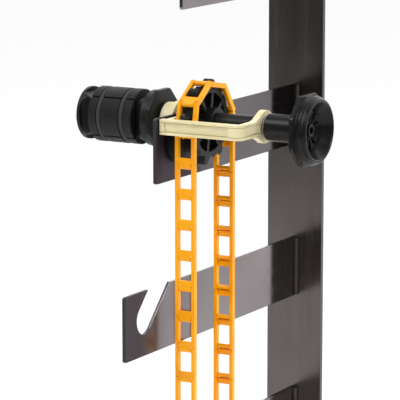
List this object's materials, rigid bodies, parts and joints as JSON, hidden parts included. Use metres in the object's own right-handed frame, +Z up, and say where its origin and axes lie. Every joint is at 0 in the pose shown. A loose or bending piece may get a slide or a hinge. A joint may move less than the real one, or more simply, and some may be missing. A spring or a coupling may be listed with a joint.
{
  "type": "wall bracket with chain drive",
  "caption": "Steel wall bracket with slotted hook arms; one hook carries a chain-driven expanding roll plug with a clamp knob.",
  "frame": {"origin": "middle of the upright's back face, on the wall", "axes": "+Y into the wall, +Z up along the upright, +X along the drive axis towards the knob"},
  "size_m": [0.2089, 0.326, 0.56],
  "materials": {
    "bracket_paint": "semi-gloss dark gunmetal coat",
    "cream_nylon": "moulded natural nylon, satin",
    "orange_chain": "moulded orange plastic",
    "black_acetal": "moulded black, satin",
    "jaw_plastic": "moulded black, matt",
    "knob_plastic": "moulded black, semi-gloss",
    "zinc_steel": "zinc plated",
    "insert_brass": "machined",
    "band_rubber": "matt"
  },
  "bodies": {
    "bracket": {"wall_upright": "bracket_paint", "hook_arm_top": "bracket_paint", "hook_arm_drive": "bracket_paint", "hook_arm_lower": "bracket_paint", "hook_arm_bottom": "bracket_paint", "arm_welds": "bracket_paint"},
    "yoke": {"hook_shoe": "cream_nylon", "shoe_keeper": "black_acetal", "yoke_frame": "cream_nylon", "shoe_screws": "zinc_steel", "inner_bush": "black_acetal", "outer_bush": "black_acetal", "chain_front_strand": "orange_chain", "chain_rear_strand": "orange_chain", "chain_top_wrap": "orange_chain", "chain_bottom_bend": "orange_chain"},
    "drive": {"sprocket": "black_acetal", "sprocket_set_screw": "zinc_steel", "drive_tube": "zinc_steel", "spacer_sleeve": "black_acetal", "retaining_ring": "zinc_steel", "plug_washer": "zinc_steel", "knob_washer": "zinc_steel", "plug_hub": "black_acetal", "jaw_bands": "band_rubber"},
    "knob": {"knob_body": "knob_plastic", "knob_insert": "insert_brass"},
    "rod": {"draw_rod": "zinc_steel", "expander_cone": "black_acetal", "cone_nut": "zinc_steel"},
    "jaw_1": {"jaw_1": "jaw_plastic"},
    "jaw_2": {"jaw_2": "jaw_plastic"},
    "jaw_3": {"jaw_3": "jaw_plastic"},
    "jaw_4": {"jaw_4": "jaw_plastic"}
  },
  "joints": [
    {"name": "drive_lift", "type": "slide", "parent": "bracket", "child": "yoke", "axis": [0, 0.7071, 0.7071], "range_m": [0, 0.06]},
    {"name": "drive_spin", "type": "hinge", "parent": "yoke", "child": "drive", "pos_m": [0, -0.1891, 0.0826], "axis": [1, 0, 0], "continuous": true, "deforming": ["chain_front_strand", "chain_rear_strand", "chain_top_wrap", "chain_bottom_bend"]},
    {"name": "knob_turn", "type": "hinge", "parent": "drive", "child": "knob", "pos_m": [0.1, -0.1891, 0.0826], "axis": [-1, 0, 0], "range_deg": [0, 1260], "deforming": ["jaw_bands"]},
    {"name": "rod_slide", "type": "slide", "parent": "drive", "child": "rod", "axis": [1, 0, 0], "range_m": [0, 0.0145]},
    {"name": "jaw_1_spread", "type": "slide", "parent": "drive", "child": "jaw_1", "axis": [0.866, 0.5, 0], "range_m": [0, 0.0084]},
    {"name": "jaw_2_spread", "type": "slide", "parent": "drive", "child": "jaw_2", "axis": [0.866, 0, 0.5], "range_m": [0, 0.0084]},
    {"name": "jaw_3_spread", "type": "slide", "parent": "drive", "child": "jaw_3", "axis": [0.866, -0.5, 0], "range_m": [0, 0.0084]},
    {"name": "jaw_4_spread", "type": "slide", "parent": "drive", "child": "jaw_4", "axis": [0.866, 0, -0.5], "range_m": [0, 0.0084]}
  ],
  "couplings": [
    {"joint": "rod_slide", "follows": "knob_turn", "m_per_rad": 0.00063662},
    {"joint": "jaw_1_spread", "follows": "knob_turn", "m_per_rad": 0.00036755},
    {"joint": "jaw_2_spread", "follows": "knob_turn", "m_per_rad": 0.00036755},
    {"joint": "jaw_3_spread", "follows": "knob_turn", "m_per_rad": 0.00036755},
    {"joint": "jaw_4_spread", "follows": "knob_turn", "m_per_rad": 0.00036755}
  ]
}
